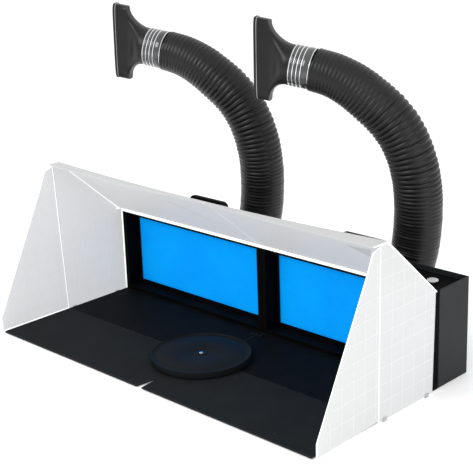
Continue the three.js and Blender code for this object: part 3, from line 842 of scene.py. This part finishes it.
sheets = {}
for unit in UNITS:
    for part, body in (("side_panel", "base"), ("side_wing", f"wing_{unit}")):
        node = f"{part}_{unit}"
        # Narrow faces take the cut edge's painted highlight.
        sheets[node] = softened(node, body, "sheet", (sheet_face, sheet_edge_highlight), 0.3 * MM, choose=edge_or_face)
    node = f"top_panel_{unit}"
    finishes = (sheet_face, sheet_edge_highlight, sheet_painted_shade)
    sheets[node] = softened(node, f"hood_{unit}", "sheet", finishes, 0.3 * MM, choose=top_face)
print("sheets:", len(sheets))


# %% Strips on the sheets
def strip_on(name, start, end, wide, deep, normal):
    """A thin raised strip from start to end, with its long edges rounded off."""
    along = (end - start).normalized()
    across = along.cross(normal).normalized()
    half = wide / 2
    bulge, rise = half * 0.7, deep * 0.8
    profile = [(-half, 0), (-bulge, rise), (0, deep), (bulge, rise), (half, 0), (0, -0.05 * MM)]
    rows = [[p + across * u + normal * v for u, v in profile] for p in (start, end)]
    points = [p for row in rows for p in row]
    count = len(profile)
    faces = [(i, (i + 1) % count, count + (i + 1) % count, count + i) for i in range(count)]
    faces += [tuple(range(count))[::-1], tuple(range(count, 2 * count))]
    return piece_from(name, points, faces, 60)


def clipped(start, end, outline):
    """The stretch of a line inside a convex outline in its own plane, or None."""
    low, high = 0.0, 1.0
    along = end - start
    count = len(outline)
    centre = sum((Vector(p) for p in outline), Vector((0, 0))) / count
    for i in range(count):
        a, b = Vector(outline[i]), Vector(outline[(i + 1) % count])
        square = Vector((a.y - b.y, b.x - a.x))
        if square.dot(centre - a) < 0:
            square = -square
        rate, gap = square.dot(along), square.dot(start - a)
        if abs(rate) < 1e-12:
            if gap < 0:
                return None
        elif rate > 0:
            low = max(low, -gap / rate)
        else:
            high = min(high, -gap / rate)
    return (start + along * low, start + along * high) if high - low > 0.02 else None


GRID_PITCH = 32 * MM
GRID_WIDE = 1.5 * MM
GRID_DEEP = 0.12 * MM


def grid_strips(name, outline, origin, u_axis, v_axis, normal, lines):
    """Embossed lines over a flat outline. Points are (u, v) in the sheet's plane."""
    strips = []
    low = [min(p[k] for p in outline) for k in (0, 1)]
    high = [max(p[k] for p in outline) for k in (0, 1)]
    runs = []
    if "across" in lines:
        for v in np.arange(low[1] + GRID_PITCH, high[1], GRID_PITCH):
            runs.append((Vector((low[0] - 1, v)), Vector((high[0] + 1, v))))
    if "up" in lines:
        for u in np.arange(low[0] + GRID_PITCH, high[0], GRID_PITCH):
            runs.append((Vector((u, low[1] - 1)), Vector((u, high[1] + 1))))
    for i, (a, b) in enumerate(runs):
        kept = clipped(a, b, outline)
        if kept and (kept[1] - kept[0]).length > GRID_PITCH / 2:
            p, q = (origin + u_axis * e.x + v_axis * e.y for e in kept)
            strips.append(strip_on(f"{name}_{i}", p, q, GRID_WIDE, GRID_DEEP, normal))
    return joined(name, strips)


def flat_face(node, towards):
    """Corners, in the row frame, of the part's largest face that looks one way."""
    work = merged_copy(node)
    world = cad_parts[node].matrix_world
    turn = world.to_3x3().normalized()
    fits = [f for f in work.faces if (turn @ f.normal).dot(towards) > 0.7]
    face = max(fits, key=lambda f: f.calc_area())
    corners, normal = [world @ v.co for v in face.verts], (turn @ face.normal).normalized()
    work.free()
    return corners, normal


def emboss(name, node, towards, level, lines, margin):
    """Grid strips over one face of a sheet part, kept a margin inside its outline."""
    corners, normal = flat_face(node, towards)
    u_axis = level - normal * level.dot(normal)
    u_axis.normalize()
    v_axis = normal.cross(u_axis)
    origin = sum(corners, Vector()) / len(corners)
    flat = [((p - origin).dot(u_axis), (p - origin).dot(v_axis)) for p in corners]
    inner = [tuple(Vector(p) * (1 - margin / Vector(p).length)) for p in flat]
    return grid_strips(name, inner, origin, u_axis, v_axis, normal, lines)


X_AXIS, Y_AXIS, Z_AXIS = Vector((1, 0, 0)), Vector((0, 1, 0)), Vector((0, 0, 1))
tops = {unit: [sheets[f"top_panel_{unit}"]] for unit in UNITS}
for unit, side in UNITS.items():
    outward = X_AXIS * side
    # The grid strips take the embossed lines' painted highlight.
    for face_name, towards, lines in (("outside", outward, "across up"), ("inside", -outward, "up")):
        for part, body in (("side_panel", "base"), ("side_wing", f"wing_{unit}")):
            made = emboss(f"{part}_{face_name}_{unit}", f"{part}_{unit}", towards, Y_AXIS, lines, 5 * MM)
            finish_piece(made, body, "sheet", sheet_line_highlight)
    towards = (Z_AXIS + Y_AXIS).normalized()
    made = emboss(f"top_above_{unit}", f"top_panel_{unit}", towards, X_AXIS, "up", 6 * MM)
    finish_piece(made, f"hood_{unit}", "sheet", sheet_line_highlight)
    tops[unit].append(made)
print("grid lines are on the sheets")

# %% [markdown]
# ## Folds, seams and tabs
# Under the left top sheet lies the edge of a folded corner, drawn as a strip painted in shade, and
# the right one has a small thin plate painted in shade where shade falls beside the wing. A score
# runs up each side where the wing folds, with a painted highlight outside and painted shade inside,
# and little tabs with the cut edge's painted highlight stick out of the rear edge. They are strips
# and thin plates on the sheets, like the grid.

# %% Folds, seams and tabs
under_plane = {unit: flat_face(f"top_panel_{unit}", (-Z_AXIS - Y_AXIS).normalized()) for unit in UNITS}


def under_top(unit, x, y):
    """The point of the top sheet's underside over a place on the floor, given in millimetres."""
    corners, normal = under_plane[unit]
    p = Vector((x, y, 0)) * MM
    height = (corners[0] - p).dot(normal) / normal.z
    return p + Z_AXIS * height


FOLD = [(-140, -7), (0, 70)]
PLEAT = [(312, -4), (367, -7), (345, 21)]
TAB_PLACES = [-340, -215, 215, 340]
TAB_HALF = 7 * MM

# A strip painted in shade along the folded corner's edge.
fold_ends = [under_top("left", x, y) for x, y in FOLD]
under_normal = under_plane["left"][1]
fold_shade_line = strip_on("corner_fold_shade", *fold_ends, 2.2 * MM, 0.3 * MM, under_normal)
finish_piece(fold_shade_line, "hood_left", "sheet", sheet_painted_shade)
tops["left"].append(fold_shade_line)

# A thin plate painted in shade where shade falls beside the right wing.
pleat_low = [under_top("right", x, y) for x, y in PLEAT]
pleat_high = [p + under_plane["right"][1] * 0.25 * MM for p in pleat_low]
pleat_faces = [(0, 1, 2), (3, 5, 4), (0, 3, 4, 1), (1, 4, 5, 2), (2, 5, 3, 0)]
painted_shade_plate = piece_from("painted_shade_plate", pleat_low + pleat_high, pleat_faces)
finish_piece(painted_shade_plate, "hood_right", "sheet", sheet_painted_shade)
tops["right"].append(painted_shade_plate)

for unit, side in UNITS.items():
    # Outer scores take the painted highlight, inner ones the painted shade.
    for face_name, towards, material in (("outer", side, sheet_line_highlight), ("inner", -side, sheet_painted_shade)):
        corners, normal = flat_face(f"side_panel_{unit}", X_AXIS * towards)
        seam = sorted(sorted(corners, key=lambda p: p.y)[:2], key=lambda p: p.z)
        ends = [p + Y_AXIS * 1.6 * MM for p in seam]
        score = strip_on(f"score_{face_name}_{unit}", *ends, 1.5 * MM, 0.2 * MM, normal)
        finish_piece(score, "base", "sheet", material)

lip_low, lip_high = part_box("top_panel_right")
face_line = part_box("front_frame_right")[0].y
for i, x in enumerate(TAB_PLACES):
    unit = "right" if x > 0 else "left"
    ends = [Vector((x * MM + end * TAB_HALF, face_line - 2.9 * MM, lip_low.z + 1.6 * MM)) for end in (-1, 1)]
    # The tabs take the cut edge's painted highlight.
    tab = strip_on(f"tab_{i}", *ends, 3 * MM, 0.8 * MM, -Y_AXIS)
    finish_piece(tab, f"hood_{unit}", "sheet", sheet_edge_highlight)
print("folds, scores and tabs are on")

# %% [markdown]
# ## Sag of the top
# The top sheet is thin and wide, so it hangs a little between its ends. It is cut into narrow
# bays across its width and each point is lowered, most at the front edge and midway between the
# ends, and not at all along the rear edge that hooks over the housings.

# %% Sag
SAG = 9 * MM
SAG_CUTS = 14
sag_middle = Vector(((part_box("top_panel_left")[0].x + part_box("top_panel_right")[1].x) / 2, 0, 0))
sag_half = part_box("top_panel_right")[1].x - sag_middle.x


def sagged(piece):
    """Cuts a piece across its width and lowers its points as the sheet hangs."""
    work = bmesh.new()
    work.from_mesh(piece.data)
    for k in range(1, SAG_CUTS):
        at = sag_middle + X_AXIS * sag_half * (2 * k / SAG_CUTS - 1)
        parts = work.verts[:] + work.edges[:] + work.faces[:]
        bmesh.ops.bisect_plane(work, geom=parts, plane_co=at, plane_no=X_AXIS)
    for v in work.verts:
        rise = smooth_step(lip_low.z + 4 * MM, lip_high.z, v.co.z)
        off = (v.co.x - sag_middle.x) / sag_half
        v.co.z -= SAG * rise * (1 - min(1, off * off))
    work.to_mesh(piece.data)
    work.free()
    shaded(piece.data, 30)


for unit in UNITS:
    for piece in tops[unit]:
        sagged(piece)
print("top sheets hang", SAG / MM, "mm")

# %% [markdown]
# ## Turntable
# The platter is a turned disc with a raised rim and a shallow groove inside it. The base is a
# plain turned foot, and a bright pin holds the platter at its middle.

# %% Turntable pieces
table_low, table_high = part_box("turntable_platter")
table_centre = (table_low + table_high) / 2
TABLE_RADIUS = (table_high.x - table_low.x) / 2
disc_axis = Vector((table_centre.x, table_centre.y, 0))


def turned_part(name, profile, centre, axis, body, slot, material, *nodes):
    """A turned piece that stands for its frame part."""
    made = turned(name, [(r * MM, a * MM) for r, a in profile], centre, axis)
    return finish_piece(made, body, slot, material, *nodes)


TABLE_MM = TABLE_RADIUS / MM
rim_profile = [
    (-3.4, 9.5), (-2.6, 6.4), (-1.0, 6.2), (0, 7.2), (0, 17.6), (-0.4, 18.5), (-1.2, 18.9), (-2.2, 18.7),
    (-2.9, 18.0), (-3.4, 17.2), (-4.2, 16.9), (-9, 16.9), (-10, 16.5), (-11, 16.5), (-12, 16.9),
]
platter_profile = [(3.2, 9.5)]
platter_profile += [(TABLE_MM + past_rim, z) for past_rim, z in rim_profile]
platter_profile += [(16, 16.9), (15.4, 16.6), (14.6, 16.6), (14, 16.9), (3.2, 16.9)]
node = "turntable_platter"
turned_part("platter", platter_profile, disc_axis, Z_AXIS, "platter", "floor", disc_black, node)
base_profile = [(1.5, 4.9), (68.5, 4.9), (70, 5.8), (70, 8.0), (69, 8.9), (1.5, 8.9)]
node = "turntable_base"
turned_part("table_foot", base_profile, disc_axis, Z_AXIS, "turntable", "floor", trim_black, node)
pin_profile = [
    (0.05, 9.4), (2.7, 9.4), (2.7, 17.4), (4.0, 17.4), (4.4, 17.8), (4.3, 18.3), (3.2, 18.7), (0.05, 18.8),
]
turned_part("table_pin", pin_profile, disc_axis, Z_AXIS, "turntable", "steel", wire_metal, "turntable_pin")
print("turntable:", round(TABLE_RADIUS * 2, 3), "m across")

# %% [markdown]
# ## Turned parts of the housings
# The duct spigot has a flange and a snap ridge near its rim. The power socket is a small boss with
# a metal pin in its bore, and the fan's motor is a short bright can.

# %% Collars, sockets, motors and buttons
def turning_line(node, along):
    """A frame part's centre, moved to zero along its axis, and its two ends on that axis in mm."""
    low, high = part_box(node)
    centre = (low + high) / 2
    centre[along] = 0
    return centre, low[along] / MM, high[along] / MM


BACKWARDS, UP = 1, 2
for unit in UNITS:
    node = f"outlet_collar_{unit}"
    centre, y0, y1 = turning_line(node, BACKWARDS)
    collar_profile = [
        (43.6, y0), (57.0, y0), (57.5, y0 + 0.6), (57.5, y0 + 2.4), (56.7, y0 + 3.2), (47.4, y0 + 3.2),
        (46.2, y0 + 4.2), (46.2, y1 - 6.4), (46.5, y1 - 5.6), (46.5, y1 - 4.4), (46.2, y1 - 3.6),
        (46.2, y1 - 0.8), (45.4, y1), (44.3, y1), (43.6, y1 - 0.8),
    ]
    turned_part(f"spigot_{unit}", collar_profile, centre, Y_AXIS, "base", "trim", trim_black, node)

    node = f"power_socket_{unit}"
    centre, y0, y1 = turning_line(node, BACKWARDS)
    socket_profile = [
        (3.6, y0 + 3), (3.6, y1 - 0.4), (4.0, y1), (5.5, y1), (6.0, y1 - 0.6), (6.0, y0 + 2.4),
        (7.9, y0 + 2.1), (8.4, y0 + 1.5), (8.4, y0), (0.05, y0), (0.05, y0 + 3),
    ]
    turned_part(f"socket_{unit}", socket_profile, centre, Y_AXIS, "base", "trim", trim_black, node)
    inner_profile = [(0.05, y0 + 2.9), (0.95, y0 + 2.9), (0.95, y1 - 2.4), (0.6, y1 - 1.8), (0.05, y1 - 1.8)]
    turned_part(f"socket_pin_{unit}", inner_profile, centre, Y_AXIS, "base", "steel", zinc)

    node = f"fan_motor_{unit}"
    centre, y0, y1 = turning_line(node, BACKWARDS)
    can = y1 - 19
    motor_profile = [
        (0.05, y0), (1.9, y0), (1.9, can), (14.8, can), (16, can + 1), (16, can + 15.8), (15, can + 16.8),
        (7, can + 16.8), (7, y1 - 0.4), (6.6, y1), (0.05, y1),
    ]
    turned_part(f"motor_{unit}", motor_profile, centre, Y_AXIS, "base", "steel", zinc, node)

    node = f"power_button_{unit}"
    centre, z0, z1 = turning_line(node, UP)
    button_profile = [
        (0.05, z0), (5.4, z0), (5.4, z1 - 3.6), (10.4, z1 - 3.4), (11, z1 - 2.9), (11, z1 - 1.9),
        (10.5, z1 - 1.2), (9.4, z1 - 0.6), (8.0, z1 - 0.3), (4, z1 - 0.6), (0.05, z1 - 0.7),
    ]
    body = f"button_{unit}"
    turned_part(f"button_{unit}", button_profile, centre, Z_AXIS, body, "button", button_grey, node)
print("turned parts are ready")

# %% [markdown]
# ## Handles, clips and rivets
# The handles are square moulded bars with generous edges. The side sheets are held at the foot by
# small pale clips, and the floor carries low black rivets.

# %% Handles and clips
clip_white = plastic("clip_pale", (0.38, 0.39, 0.39), (0.50, 0.51, 0.51), (0.25, 0.35), 0.5, dusty=0.02)
for unit in UNITS:
    handle = f"carry_handle_{unit}"
    softened(handle, f"handle_{unit}", "trim", (trim_black, edge_wear_and_highlight_black), 1.6 * MM, segments=4)
    for place in ("rear", "front"):
        softened(f"side_clip_{place}_{unit}", "base", "trim", (clip_white, clip_white), 0.3 * MM)
softened("unit_clip", "base", "trim", (trim_black, edge_wear_and_highlight_black), 0.4 * MM, whole=False)

RIVETS = [
    (-392, -227), (-29, -230), (41, -232), (397, -231), (320, -214), (-389, -90), (-391, -177),
    (110, -92), (-110, -94), (-30, -52), (32, -54), (398, -50), (-398, 60), (396, 66),
]
flap_edge = max(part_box("front_flap_right")[1].y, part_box("front_flap_left")[1].y)
floor_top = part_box("rear_floor_right")[1].z / MM
foot, rim = floor_top - 0.2, floor_top + 0.3
rivet_profile = [(0.05, foot), (3.4, foot), (3.4, rim), (2.6, rim + 0.5), (0.05, rim + 0.7)]
for i, (x, y) in enumerate(RIVETS):
    unit = "right" if x > 0 else "left"
    body = f"flap_{unit}" if y * MM < flap_edge else "base"
    place = Vector((x, y, 0)) * MM + X_AXIS * disc_axis.x
    turned_part(f"rivet_{i}", rivet_profile, place, Z_AXIS, body, "trim", rubber)
print("rivets:", len(RIVETS))

# %% [markdown]
# ## Studio
# The booth stands on a white sweep in soft light. Most of the light comes from the white
# surroundings, a wide lamp above the camera's left shoulder shapes the ducts, and a weaker one
# fills from the right.

# %% Stage, lights and surroundings
STAGE_LEVEL = -0.0004
STAGE_HALF = 12
STAGE_GLOW = 0.12
SURROUNDINGS_STRENGTH = 0.95
corners = [(-1, -1), (1, -1), (1, 1), (-1, 1)]
sweep_points = [(x * STAGE_HALF, y * STAGE_HALF, STAGE_LEVEL) for x, y in corners]
sweep = piece_from("studio_floor", sweep_points, [(0, 1, 2, 3)])
paper, tree, shader = new_material("studio_paper")
shader.inputs["Base Color"].default_value = (1, 1, 1, 1)
shader.inputs["Emission Color"].default_value = (1, 1, 1, 1)
shader.inputs["Emission Strength"].default_value = STAGE_GLOW
shader.inputs["Roughness"].default_value = 0.9
shader.inputs["Specular IOR Level"].default_value = 0.1
sweep.data.materials.append(paper)


def lamp(name, place, aim, size, watts):
    """A square area lamp that points at a place."""
    light = bpy.data.lights.new(name, "AREA")
    light.shape = "SQUARE"
    light.size = size
    light.energy = watts
    made = bpy.data.objects.new(name, light)
    made.location = place
    made.rotation_euler = (Vector(aim) - Vector(place)).to_track_quat("-Z", "Y").to_euler()
    bpy.context.scene.collection.objects.link(made)


lamp("key", place=(-0.6, -2.6, 2.6), aim=(0, 0, 0.2), size=1.6, watts=46)
lamp("fill", place=(3.2, -0.6, 1.6), aim=(0, 0, 0.25), size=1.8, watts=20)
surroundings = bpy.data.worlds.new("studio")
bpy.context.scene.world = surroundings
surroundings.use_nodes = True
background = surroundings.node_tree.nodes["Background"]
background.inputs["Color"].default_value = (1, 1, 1, 1)
background.inputs["Strength"].default_value = SURROUNDINGS_STRENGTH
bpy.context.scene.view_settings.view_transform = "Standard"
print("studio is lit")

# %% [markdown]
# ## End

# %% Finish
print("the booth is finished")
